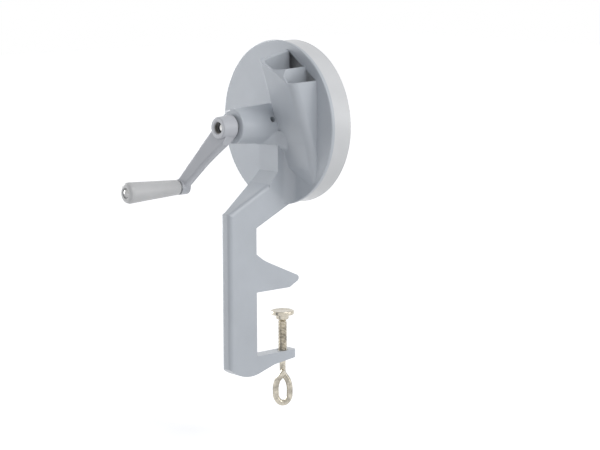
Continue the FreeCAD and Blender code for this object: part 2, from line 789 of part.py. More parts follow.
save("knife_wheel", wheel.removeSplitter())
for number, knife in enumerate(knives):
    save("knife_" + str(number + 1), knife.removeSplitter())
save("knife_screws", Part.makeCompound(knife_screws))

# Wheel fastening: flat washer, spring washer and wing nut on the shaft's tail

washer_front = wheel_hub_end + 1.6
save("wheel_washer", ring_y(10.0, tail_radius + 0.3, wheel_hub_end, washer_front))
spring_front = washer_front + 1.8
spring_washer = ring_y(7.2, tail_radius + 0.2, washer_front, spring_front)
spring_washer = spring_washer.cut(box(-0.7, 0.7, 40, 70, axis_height, axis_height + 20))
save("spring_washer", spring_washer)
nut_front = spring_front + 7.0
nut = cone_y(7.0, 5.6, spring_front, nut_front)
for side in (-1, 1):
    wing = Part.makeCylinder(5.2, 2.4, vec(side * 9.5, nut_front - 0.4, axis_height - 1.2), vec(0, 0, 1))
    stem = box(
        min(0, side * 8), max(0, side * 8),
        spring_front + 1.5, nut_front + 1.0,
        axis_height - 1.2, axis_height + 1.2)
    nut = nut.fuse([wing, stem])
nut = nut.cut(cyl_y(tail_radius, 40, 80))
save("wheel_nut", nut.removeSplitter())

# Clamp screw: rod with a bent eye, and the swivel pad on its ball end

core = cyl_z(screw_radius, screw_shoulder, screw_top - ball_radius - 2.0)
core_top = screw_top - ball_radius - 2.0
core = core.makeChamfer(0.8, [e for e in core.Edges if abs(e.CenterOfMass.z - core_top) < 0.01])
neck = cyl_z(1.9, screw_top - ball_radius - 3.0, screw_top - ball_radius + 0.5)
ball_middle = vec(stand_centre, screw_y, screw_top - ball_radius + 1.2)
ball = Part.makeSphere(ball_radius, ball_middle)

# the rod runs down from the screw and is bent round into an open eye
loop_turn = math.radians(45.0)
loop_x = math.cos(loop_turn)
loop_y = math.sin(loop_turn)
loop_top = -72.0


def loop_point(across, z, out=0.0):
    x = stand_centre + loop_x * across - loop_y * out
    y = screw_y + loop_y * across + loop_x * out
    return vec(x, y, z)


wide = loop_width - wire_radius
low = loop_bottom + wire_radius
path = Part.BSplineCurve()
path.interpolate([
    loop_point(0.0, screw_shoulder + 2.0),
    loop_point(0.0, loop_top + 1.5),
    loop_point(0.5, loop_top - 3.5, 0.2),
    loop_point(wide * 0.77, loop_top - 10.5, 0.4),
    loop_point(wide, low + 10.4, 0.4),
    loop_point(wide * 0.72, low + 2.6, 0.2),
    loop_point(0.0, low),
    loop_point(-wide * 0.72, low + 2.6, -0.3),
    loop_point(-wide, low + 10.4, -0.8),
    loop_point(-wide * 0.77, loop_top - 10.5, -2.4),
    loop_point(-0.6, loop_top - 4.0, -5.7),
    loop_point(1.6, loop_top - 0.5, -5.8),
], InitialTangent=vec(0, 0, -1), FinalTangent=vec(0.3, 0, 1))
path_wire = Part.Wire([path.toShape()])
ring = Part.Wire([Part.Circle(loop_point(0.0, screw_shoulder + 2.0), vec(0, 0, -1), wire_radius).toShape()])
eye = path_wire.makePipeShell([ring], True, True)
screw = core.fuse([neck, ball, eye])
save("clamp_screw", screw.removeSplitter())

pad = cyl_z(pad_radius, pad_top - pad_thickness, pad_top)
pad = pad.makeFillet(0.8, [e for e in pad.Edges if abs(e.CenterOfMass.z - pad_top) < 0.01])
socket = cyl_z(5.4, pad_top - pad_thickness - 4.2, pad_top - pad_thickness + 0.1)
pad = pad.fuse(socket)
hollow = Part.makeSphere(ball_radius + running_clearance, ball_middle)
pad = pad.cut(hollow)
pad = pad.cut(Part.makeCone(
    2.9, 2.0, 3.2, vec(stand_centre, screw_y, pad_top - pad_thickness - 4.3), vec(0, 0, 1)))
save("pressure_pad", pad.removeSplitter())
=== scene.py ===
"""Looks of the bean slicer with crank, built around its packed construction model."""

import math

import bpy
import bmesh
from bpy.props import FloatProperty, FloatVectorProperty, IntProperty, PointerProperty
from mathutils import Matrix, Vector


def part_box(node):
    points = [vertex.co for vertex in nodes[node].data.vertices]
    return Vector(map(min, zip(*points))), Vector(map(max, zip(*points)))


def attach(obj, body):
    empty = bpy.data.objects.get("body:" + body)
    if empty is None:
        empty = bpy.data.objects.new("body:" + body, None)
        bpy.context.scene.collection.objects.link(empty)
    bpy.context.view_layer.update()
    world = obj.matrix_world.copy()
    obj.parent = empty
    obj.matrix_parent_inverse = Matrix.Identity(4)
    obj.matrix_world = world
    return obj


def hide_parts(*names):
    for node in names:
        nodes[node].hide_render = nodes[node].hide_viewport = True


bl_info = {
    "name": "Bean slicer with crank",
    "version": (1, 0, 0),
    "blender": (4, 5, 0),
    "location": "View3D > Sidebar > Bean slicer",
    "description": "Models and finishes the pieces of a table-clamped bean slicer",
    "category": "Add Mesh",
}

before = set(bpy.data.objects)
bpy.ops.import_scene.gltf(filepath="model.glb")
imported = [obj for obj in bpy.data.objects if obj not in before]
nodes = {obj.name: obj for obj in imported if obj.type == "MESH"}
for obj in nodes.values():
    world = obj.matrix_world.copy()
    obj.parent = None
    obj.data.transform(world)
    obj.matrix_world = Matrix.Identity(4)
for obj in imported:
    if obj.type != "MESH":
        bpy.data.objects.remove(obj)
MM = 0.001

# The frame's origin is the middle of the jaw's seat. Places below are in millimetres in that frame.
TABLE_EDGE_Y = -18.15
SHAFT_X = -10.25
SHAFT_Z = 140.0
HUB_FACE = TABLE_EDGE_Y - 28.1
SHAFT_END = HUB_FACE + 4.5
SHAFT_END_RADIUS = 3.9
GRIP_X = SHAFT_X - 38.9
GRIP_Z = SHAFT_Z - 52.3
SCREW_Y = TABLE_EDGE_Y + 33.2

# Threads, as (start, end, crest radius, pitch) in millimetres from the hub's face and from the table's edge
HUB_THREAD = (0.9, 4.2, 4.45, 0.8)
TAIL_THREAD = (54.8, 63.4, 4.18, 1.0)

# The first knife stands turned back from the top of the wheel by this angle, in degrees
KNIFE_TURN = 15.0

# The stage: heights and places in metres, powers in watts, levels where 1 is white
FLOOR_SIZE = 8.0
FLOOR_HEIGHT = -0.135
WORLD_LEVEL = 0.5
GLOW_NEAR, GLOW_FAR = 0.36, 0.64
GLOW_START, GLOW_END = 0.4, 1.8
LAMP_TARGET = (0.0, 0.0, 0.06)
LAMP_SIZE = 0.7
LAMPS = (
    ("Side_left", (-1.35, -0.35, 0.25), 12.0),
    ("High_right", (0.9, 0.1, 1.05), 6.4),
    ("Back_right", (1.1, 0.75, 0.35), 2.4),
)
CAMERA_PLACE = (1.268934, -1.086695, 0.321355)
CAMERA_TURN = (80.9374, 0.1687, 48.4845)
CAMERA_LENS = 119.94


def linear(hex_colour):
    """The linear colour of an sRGB hex value."""
    value = hex_colour.lstrip("#")
    parts = [int(value[i:i + 2], 16) / 255 for i in (0, 2, 4)]
    return tuple(c / 12.92 if c <= 0.04045 else ((c + 0.055) / 1.055) ** 2.4 for c in parts)


# Settings


class SlicerSizes(bpy.types.PropertyGroup):
    """Sizes of the pieces modelled here, in metres."""

    grip_end_radius: FloatProperty(
        name="Grip end radius", description="Radius of the grip at its outer end",
        default=9.0 * MM, min=6 * MM, max=12 * MM, unit="LENGTH")
    grip_root_radius: FloatProperty(
        name="Grip root radius", description="Radius of the grip where it meets the crank",
        default=6.4 * MM, min=4 * MM, max=9 * MM, unit="LENGTH")
    screw_radius: FloatProperty(
        name="Clamp screw radius", description="Outside radius of the clamp screw's thread",
        default=4.0 * MM, min=3 * MM, max=6 * MM, unit="LENGTH")
    screw_pitch: FloatProperty(
        name="Clamp screw pitch", description="Rise of the clamp screw's thread in one turn",
        default=1.25 * MM, min=0.8 * MM, max=2 * MM, unit="LENGTH")
    wire_radius: FloatProperty(
        name="Eye wire radius", description="Radius of the wire that is bent into the eye",
        default=2.6 * MM, min=1.5 * MM, max=4 * MM, unit="LENGTH")
    pad_radius: FloatProperty(
        name="Pad radius", description="Radius of the swivel pad on the clamp screw",
        default=10.0 * MM, min=7 * MM, max=14 * MM, unit="LENGTH")
    wing_thickness: FloatProperty(
        name="Wing thickness", description="Thickness of the wing nut's ears",
        default=2.6 * MM, min=1.5 * MM, max=4 * MM, unit="LENGTH")
    round_steps: IntProperty(
        name="Steps round", description="Steps round a turned piece",
        default=96, min=32, max=256)


class SlicerColours(bpy.types.PropertyGroup):
    """Colours of the finishes."""

    casting: FloatVectorProperty(
        name="Casting lacquer", description="Lacquer on the housing and stand",
        subtype="COLOR", size=3, min=0, max=1, default=linear("#B6BBC1"))
    crank: FloatVectorProperty(
        name="Crank lacquer", description="Lacquer on the crank arm",
        subtype="COLOR", size=3, min=0, max=1, default=linear("#B9BBC0"))
    wheel: FloatVectorProperty(
        name="Wheel lacquer", description="Lacquer on the knife wheel",
        subtype="COLOR", size=3, min=0, max=1, default=linear("#CFD0D1"))
    grip: FloatVectorProperty(
        name="Grip plastic", description="Moulded plastic of the grip",
        subtype="COLOR", size=3, min=0, max=1, default=linear("#C4C4C4"))
    nickel: FloatVectorProperty(
        name="Nickel plate", description="Plating on the clamp screw and its pad",
        subtype="COLOR", size=3, min=0, max=1, default=linear("#D0C9BA"))
    zinc: FloatVectorProperty(
        name="Zinc plate", description="Plating on nuts, screws and washers",
        subtype="COLOR", size=3, min=0, max=1, default=linear("#BFC1C2"))
    blade: FloatVectorProperty(
        name="Knife steel", description="Ground steel of the knives",
        subtype="COLOR", size=3, min=0, max=1, default=linear("#CFD0D1"))
    bronze: FloatVectorProperty(
        name="Bush bronze", description="Sintered bronze of the bushes",
        subtype="COLOR", size=3, min=0, max=1, default=linear("#B08A56"))
    floor: FloatVectorProperty(
        name="Floor", description="Colour of the pale floor",
        subtype="COLOR", size=3, min=0, max=1, default=linear("#F2F2F2"))


# Materials


def feed(tree, shader, values):
    """Fills the named inputs of a shader node. A value that is a socket is linked, any other is set."""
    for key, value in values.items():
        if isinstance(value, bpy.types.NodeSocket):
            tree.links.new(value, shader.inputs[key])
        else:
            shader.inputs[key].default_value = value


def add_node(tree, kind, values=None, **settings):
    made = tree.nodes.new(kind)
    for key, value in settings.items():
        setattr(made, key, value)
    feed(tree, made, values or {})
    return made


def new_finish(name):
    """An empty material with its shader, and the Object coordinates that its patterns read."""
    finish = bpy.data.materials.new(name)
    finish.use_nodes = True
    tree = finish.node_tree
    shader = tree.nodes["Principled BSDF"]
    place = add_node(tree, "ShaderNodeTexCoord").outputs["Object"]
    return finish, tree, shader, place


def rgba(colour, share=1.0):
    return tuple(min(1.0, c * share) for c in colour) + (1.0,)


def noise(tree, place, size, detail, roughness=0.5):
    """A cloudy pattern whose spots are size millimetres across."""
    made = add_node(
        tree, "ShaderNodeTexNoise",
        {"Vector": place, "Scale": 1 / (size * MM), "Detail": detail, "Roughness": roughness})
    return made.outputs["Fac"]


def tones(tree, value, dark, light, start=0.0, end=1.0):
    """A colour that goes from the dark tone to the light one as value goes from start to end."""
    ramp = add_node(tree, "ShaderNodeValToRGB", {"Fac": value})
    low, high = ramp.color_ramp.elements
    low.position, low.color = start, dark
    high.position, high.color = end, light
    return ramp.outputs["Color"]


def between(tree, value, low, high):
    """A value from 0 to 1 spread between low and high."""
    spread = add_node(tree, "ShaderNodeMapRange", {"Value": value, "To Min": low, "To Max": high})
    return spread.outputs["Result"]


def relief(tree, height, strength, depth, **under):
    """A fine relief, depth in millimetres, over the relief given as Normal, if there is one."""
    values = {"Height": height, "Strength": strength, "Distance": depth * MM}
    return add_node(tree, "ShaderNodeBump", {**values, **under}).outputs["Normal"]


def seen_rays(tree):
    """1 for rays from the eye, in mirror images and through glass, and 0 for the rays that light things."""
    rays = add_node(tree, "ShaderNodeLightPath").outputs
    some = add_node(
        tree, "ShaderNodeMath", {0: rays["Is Camera Ray"], 1: rays["Is Glossy Ray"]}, operation="MAXIMUM")
    every = add_node(
        tree, "ShaderNodeMath", {0: some.outputs[0], 1: rays["Is Transmission Ray"]}, operation="MAXIMUM")
    return every.outputs[0]


def lacquer(name, colour, roughness=0.36, peel=0.06):
    """Stoved lacquer over a zinc die casting.

    It gives the eye an even tint, a soft sheen, and a faint orange peel over the slight waves of the casting.
    """
    finish, tree, shader, place = new_finish(name)
    # waves of the casting, orange peel of the lacquer, and a slow drift of its tint
    waves = noise(tree, place, 12.5, 2.0, 0.4)
    peels = noise(tree, place, 1.42857, 1.0, 0.4)
    drift = noise(tree, place, 38.4615, 4.0, 0.55)
    feed(tree, shader, {
        "Base Color": tones(tree, drift, rgba(colour, 0.965), rgba(colour, 1.025), 0.35, 0.65),
        "Roughness": between(tree, waves, roughness - 0.04, roughness + 0.05),
        "Normal": relief(tree, peels, peel, 0.2, Normal=relief(tree, waves, 0.25, 0.6)),
        "IOR": 1.5,
        "Coat Weight": 0.25,
        "Coat Roughness": 0.16,
    })
    return finish


def moulded_plastic(name, colour):
    """Injection-moulded ABS.

    It gives the eye one even tint under a satin skin with a very fine grain.
    """
    finish, tree, shader, place = new_finish(name)
    # the grain is drawn coarser than the real one so that it shows
    grain = noise(tree, place, 0.526316, 2.0)
    drift = noise(tree, place, 16.6667, 3.0)
    feed(tree, shader, {
        "Base Color": tones(tree, drift, rgba(colour, 0.97), rgba(colour, 1.02), 0.35, 0.68),
        "Normal": relief(tree, grain, 0.05, 0.1),
        "IOR": 1.5,
        "Roughness": 0.38,
    })
    return finish


def plated_steel(name, colour, roughness=0.22, stain_and_painted_reflection=0.8):
    """Electroplated steel, bright nickel or zinc over a drawn surface.

    It gives the eye a clear metal shine that dulls in small cloudy patches. Where the patches are made much
    darker, as on the nickel, they are painted dark reflections of the room.
    """
    finish, tree, shader, place = new_finish(name)
    cloud = noise(tree, place, 5.0, 4.0, 0.6)
    grain = noise(tree, place, 0.3125, 2.0)
    feed(tree, shader, {
        "Base Color": tones(tree, cloud, rgba(colour, stain_and_painted_reflection), rgba(colour), 0.3, 0.62),
        "Roughness": between(tree, cloud, roughness + 0.12, roughness - 0.04),
        "Normal": relief(tree, grain, 0.12, 0.05),
        "Metallic": 1.0,
    })
    return finish


def ground_steel(name, colour, turn, roughness=0.27):
    """Stainless knife steel, surface-ground in one direction.

    It gives the eye fine straight lines along the blade and a streaked shine. turn lays them along the blade.
    """
    finish, tree, shader, place = new_finish(name)
    # the lines are drawn 0.4 mm apart, wider than the real ones so that they show, and 17 mm long;
    # the mapping stretches the places, so that each spot of the noise is one metre across there
    apart, long = 1 / (0.4 * MM), 1 / (16.6667 * MM)
    laid = add_node(
        tree, "ShaderNodeMapping", {"Vector": place, "Rotation": (0, turn, 0), "Scale": (apart, apart, long)})
    lines = noise(tree, laid.outputs["Vector"], 1 / MM, 3.0)
    feed(tree, shader, {
        "Base Color": tones(tree, lines, rgba(colour, 0.86), rgba(colour)),
        "Roughness": between(tree, lines, roughness - 0.08, roughness + 0.12),
        "Normal": relief(tree, lines, 0.2, 0.04),
        "Metallic": 1.0,
    })
    return finish


def turned_steel(name, colour, centre_x, centre_z, roughness=0.2):
    """Bright steel turned on a lathe about an axis along Y.

    It gives the eye fine rings round the shaft and on its end.
    """
    finish, tree, shader, place = new_finish(name)
    moved = add_node(
        tree, "ShaderNodeMapping", {"Vector": place, "Location": (-centre_x, 0.0, -centre_z)})
    # the tool marks are drawn 1.05 mm apart, wider than the real ones so that they show;
    # the wave node draws 20 / (2 pi) rings in each unit of its scale
    marks = 2 * math.pi / 20 / (1.047198 * MM)
    rings = add_node(
        tree, "ShaderNodeTexWave", {"Vector": moved.outputs["Vector"], "Scale": marks, "Distortion": 0.6},
        wave_type="RINGS", rings_direction="Y", wave_profile="SIN")
    soft = noise(tree, place, 2.5, 3.0)
    feed(tree, shader, {
        "Base Color": tones(tree, soft, rgba(colour, 0.82), rgba(colour)),
        "Normal": relief(tree, rings.outputs["Fac"], 0.1, 0.05),
        "Metallic": 1.0,
        "Roughness": roughness,
    })
    return finish


def sintered_bronze(name, colour):
    """Oil-soaked sintered bronze.

    It gives the eye a warm metal with fine dark pores.
    """
    finish, tree, shader, place = new_finish(name)
    # pores of 0.42 mm
    cells = add_node(tree, "ShaderNodeTexVoronoi", {"Vector": place, "Scale": 1 / (0.41667 * MM)})
    pores = cells.outputs["Distance"]
    feed(tree, shader, {
        "Base Color": tones(tree, pores, rgba(colour, 0.55), rgba(colour), 0.08, 0.3),
        "Normal": relief(tree, pores, 0.2, 0.05),
        "Metallic": 1.0,
        "Roughness": 0.38,
    })
    return finish


# Modelling


def deselect():
    if bpy.context.object and bpy.context.object.mode != "OBJECT":
        bpy.ops.object.mode_set(mode="OBJECT")
    bpy.ops.object.select_all(action="DESELECT")


def pick(test, domain="FACE"):
    """Selects the edited mesh's faces, edges or points for which the test of place and normal is true."""
    mesh = bpy.context.object.data
    edited = bmesh.from_edit_mesh(mesh)
    for group in (edited.faces, edited.edges, edited.verts):
        for item in group:
            item.select_set(False)
    if domain == "FACE":
        for face in edited.faces:
            if test(face.calc_center_median(), face.normal):
                face.select_set(True)
    elif domain == "EDGE":
        for edge in edited.edges:
            middle = (edge.verts[0].co + edge.verts[1].co) / 2
            if test(middle, edge.verts[1].co - edge.verts[0].co):
                edge.select_set(True)
    else:
        for point in edited.verts:
            if test(point.co, point.normal):
                point.select_set(True)
    edited.select_flush_mode()
    bmesh.update_edit_mesh(mesh)


def apply_modifier(obj, kind, **settings):
    modifier = obj.modifiers.new(kind.title(), kind)
    for key, value in settings.items():
        setattr(modifier, key, value)
    bpy.context.view_layer.objects.active = obj
    bpy.ops.object.modifier_apply(modifier=modifier.name)


def settle(obj):
    """Puts a piece's place into its mesh."""
    deselect()
    obj.select_set(True)
    bpy.context.view_layer.objects.active = obj
    bpy.ops.object.transform_apply(location=True, rotation=True, scale=True)


def join(pieces, name):
    deselect()
    for piece in pieces:
        piece.select_set(True)
    bpy.context.view_layer.objects.active = pieces[0]
    bpy.ops.object.join()
    pieces[0].name = name
    pieces[0].data.name = name
    return pieces[0]


def soften(obj, width, angle=32.0, segments=3):
    """Breaks the sharp edges and shades the rest smooth."""
    deselect()
    obj.select_set(True)
    if width:
        apply_modifier(
            obj, "BEVEL", width=width, segments=segments, limit_method="ANGLE",
            angle_limit=math.radians(angle), harden_normals=False, miter_outer="MITER_ARC")
    bpy.context.view_layer.objects.active = obj
    bpy.ops.object.shade_smooth_by_angle(angle=math.radians(angle))


def give(obj, finish, body, replaced=()):
    """Hands a finished piece over: its finish, the body it rides and the node it stands for."""
    settle(obj)
    obj.data.materials.clear()
    obj.data.materials.append(finish)
    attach(obj, body)
    if replaced:
        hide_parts(*replaced)
    return obj


def dress(node, finish):
    for place in nodes[node].material_slots:
        place.material = finish


def spun(name, outline, centre, along, steps, closed=False):
    """A piece turned from its outline of (distance along, radius) points in millimetres.

    along is "Y" or "Z". An outline that starts and ends on the axis makes a solid, a closed one makes a ring.
    """
    deselect()
    centre = Vector(centre) * MM

    def put(point):
        run, radius = point[0] * MM, point[1] * MM
        return Vector((radius, run, 0.0)) if along == "Y" else Vector((radius, 0.0, run))

    bpy.ops.mesh.primitive_plane_add(size=0.001, location=put(outline[0]))
    obj = bpy.context.object
    obj.name = name
    bpy.ops.object.transform_apply(location=True)
    bpy.ops.object.mode_set(mode="EDIT")
    bpy.ops.mesh.select_all(action="SELECT")
    bpy.ops.mesh.merge(type="CENTER")
    for before, after in zip(outline, outline[1:]):
        bpy.ops.mesh.extrude_region_move(TRANSFORM_OT_translate={"value": put(after) - put(before)})
    if closed:
        ends = (put(outline[0]), put(outline[-1]))
        pick(lambda co, n: min((co - e).length for e in ends) < 1e-6, "VERT")
        bpy.ops.mesh.edge_face_add()
    bpy.ops.mesh.select_all(action="SELECT")
    bpy.ops.mesh.spin(
        steps=steps, angle=2 * math.pi, center=(0, 0, 0), axis=(0, 1, 0) if along == "Y" else (0, 0, 1))
    bpy.ops.mesh.select_all(action="SELECT")
    bpy.ops.mesh.remove_doubles(threshold=2e-6)
    bpy.ops.mesh.select_all(action="SELECT")
    bpy.ops.mesh.normals_make_consistent(inside=False)
    bpy.ops.object.mode_set(mode="OBJECT")
    obj.location = centre
    settle(obj)
    return obj


def thread(name, centre, along, start, end, radius, pitch, steps=32, inward=False):
    """A thread's ridge of 60 degrees, wound from start to end with its crest at radius, in millimetres."""
    deselect()
    turns = (end - start) / pitch
    across = pitch / math.sqrt(3)
    bpy.ops.mesh.primitive_circle_add(vertices=3, radius=across * MM, fill_type="NOTHING")
    obj = bpy.context.object
    obj.name = name
    bpy.ops.object.mode_set(mode="EDIT")
    bpy.ops.mesh.select_all(action="SELECT")
    # the ridge stands in the XZ plane with its crest along X
    turn = math.pi / 2 if inward else -math.pi / 2
    bpy.ops.transform.rotate(value=-turn, orient_axis="Z", center_override=(0, 0, 0))
    bpy.ops.transform.rotate(value=math.pi / 2, orient_axis="X", center_override=(0, 0, 0))
    shift = radius + across if inward else radius - across
    bpy.ops.transform.translate(value=(shift * MM, 0, start * MM))
    bpy.ops.object.mode_set(mode="OBJECT")
    whole = int(turns)
    apply_modifier(
        obj, "SCREW", axis="Z", angle=2 * math.pi, screw_offset=pitch * MM, iterations=max(1, whole),
        steps=steps, render_steps=steps, use_merge_vertices=False)
    bpy.ops.object.mode_set(mode="EDIT")
    bpy.ops.mesh.select_all(action="SELECT")
    bpy.ops.mesh.remove_doubles(threshold=1e-6)
    bpy.ops.mesh.select_all(action="SELECT")
    bpy.ops.mesh.fill_holes(sides=0)
    bpy.ops.mesh.select_all(action="SELECT")
    bpy.ops.mesh.normals_make_consistent(inside=False)
    bpy.ops.object.mode_set(mode="OBJECT")
    if along == "Y":
        obj.rotation_euler = (-math.pi / 2, 0, 0)
    obj.location = Vector(centre) * MM
    settle(obj)
    return obj


# Pieces


class SlicerCasting(bpy.types.Operator):
    """Finishes the housing with its stand, and the bushes pressed into it"""

    bl_idname = "slicer.casting"
    bl_label = "Casting and bushes"

    def execute(self, context):
        colours = context.scene.slicer_colours
        dress("body_casting", lacquer("Stoved_lacquer_on_die_casting", colours.casting))
        bronze = sintered_bronze("Sintered_bronze", colours.bronze)
        dress("bearing_bush_rear", bronze)
        dress("bearing_bush_front", bronze)
        return {"FINISHED"}


class SlicerCrank(bpy.types.Operator):
    """Finishes the crank arm and cuts the thread at the mouth of its hub"""

    bl_idname = "slicer.crank"
    bl_label = "Crank arm"

    def execute(self, context):
        colours = context.scene.slicer_colours
        dress("crank_arm", lacquer("Stoved_lacquer_on_crank", colours.crank, roughness=0.38))
        ridge = thread(
            "crank_hub_thread", (SHAFT_X, HUB_FACE, SHAFT_Z), "Y", *HUB_THREAD, steps=48, inward=True)
        soften(ridge, 0)
        # the dark grey of the hub's thread is painted shade for the depth of the bore
        give(ridge, plated_steel("Cut_thread_in_hub_painted_shade", linear("#6E6D6B"), roughness=0.3), "drive")
        # the shaft's end is turned to a low dome that fills the right of the bore with light
        root, rim, rise, steps = SHAFT_END + 0.3, SHAFT_END - 0.2, 1.3, 8
        outline = [(root, 0.0), (root, SHAFT_END_RADIUS), (rim, SHAFT_END_RADIUS)]
        for step in range(steps - 1, -1, -1):
            angle = step * math.pi / (2 * steps)
            outline.append((rim - rise * math.cos(angle), SHAFT_END_RADIUS * math.sin(angle)))
        dome = spun("shaft_end_dome", outline, (SHAFT_X, 0, SHAFT_Z), "Y", 64)
        soften(dome, 0)
        polished = plated_steel("Polished_shaft_end", linear("#DADAD8"), roughness=0.14, stain_and_painted_reflection=0.95)
        give(dome, polished, "drive")
        return {"FINISHED"}


class SlicerGrip(bpy.types.Operator):
    """Models the moulded grip and finishes its rivet and washers"""

    bl_idname = "slicer.grip"
    bl_label = "Crank grip"

    def execute(self, context):
        sizes = context.scene.slicer_sizes
        colours = context.scene.slicer_colours
        root, end = sizes.grip_root_radius / MM, sizes.grip_end_radius / MM
        low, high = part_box("crank_grip")
        outer, inner = low[1] / MM, high[1] / MM
        length = inner - outer
        outline = [
            (outer + 1.8, 3.1), (outer + 1.8, 4.3), (outer + 0.35, 4.4), (outer, 4.8),
            (outer, end - 2.9), (outer + 0.28, end - 1.75), (outer + 1.1, end - 0.72),
            (outer + 2.9, end - 0.08),
            (outer + 3.6, end - 0.03), (outer + length * 0.35, end - (end - root) * 0.33),
            (outer + length * 0.7, end - (end - root) * 0.69), (inner - 1.2, root + 0.05),
            (inner - 0.3, root - 0.15), (inner, root - 0.6), (inner, 3.1),
        ]
        grip = spun("crank_grip_moulded", outline, (GRIP_X, 0, GRIP_Z), "Y", sizes.round_steps, closed=True)
        soften(grip, 0.12 * MM, angle=24)
        give(grip, moulded_plastic("Moulded_ABS", colours.grip), "grip", ["crank_grip"])
        bright = plated_steel("Bright_rivet_steel", linear("#B4B4B4"), roughness=0.12, stain_and_painted_reflection=0.6)
        dress("grip_pin", bright)
        zinc = plated_steel("Zinc_plated_grip_washer", colours.zinc)
        dress("grip_washer_inner", zinc)
        dress("grip_washer_outer", zinc)
        return {"FINISHED"}


class SlicerShaft(bpy.types.Operator):
    """Finishes the shaft, threads its tail, and finishes the pin and the thrust washer"""

    bl_idname = "slicer.shaft"
    bl_label = "Shaft"

    def execute(self, context):
        colours = context.scene.slicer_colours
        turned = turned_steel("Turned_shaft_steel", linear("#DADAD8"), SHAFT_X * MM, SHAFT_Z * MM)
        dress("drive_shaft", turned)
        tail = thread("shaft_tail_thread", (SHAFT_X, TABLE_EDGE_Y, SHAFT_Z), "Y", *TAIL_THREAD, steps=32)
        soften(tail, 0)
        give(tail, plated_steel("Cut_thread_on_shaft", colours.zinc, roughness=0.25), "drive")
        zinc = plated_steel("Zinc_plated_steel", colours.zinc)
        dress("drive_pin", zinc)
        dress("thrust_washer", zinc)
        return {"FINISHED"}


class SlicerKnifeWheel(bpy.types.Operator):
    """Finishes the knife wheel"""

    bl_idname = "slicer.knife_wheel"
    bl_label = "Knife wheel"

    def execute(self, context):
        colours = context.scene.slicer_colours
        dress("knife_wheel", lacquer("Stoved_lacquer_on_wheel", colours.wheel, roughness=0.34, peel=0.05))
        return {"FINISHED"}


class SlicerKnives(bpy.types.Operator):
    """Finishes the three knives, each ground along its own length, and their screws"""

    bl_idname = "slicer.knives"
    bl_label = "Knives and screws"

    def execute(self, context):
        colours = context.scene.slicer_colours
        for number in range(3):
            label = str(number + 1)
            turn = math.radians(KNIFE_TURN - 120.0 * number)
            dress("knife_" + label, ground_steel("Ground_knife_steel_" + label, colours.blade, turn))
        dress("knife_screws", plated_steel("Zinc_plated_screws", colours.zinc, roughness=0.2))
        return {"FINISHED"}


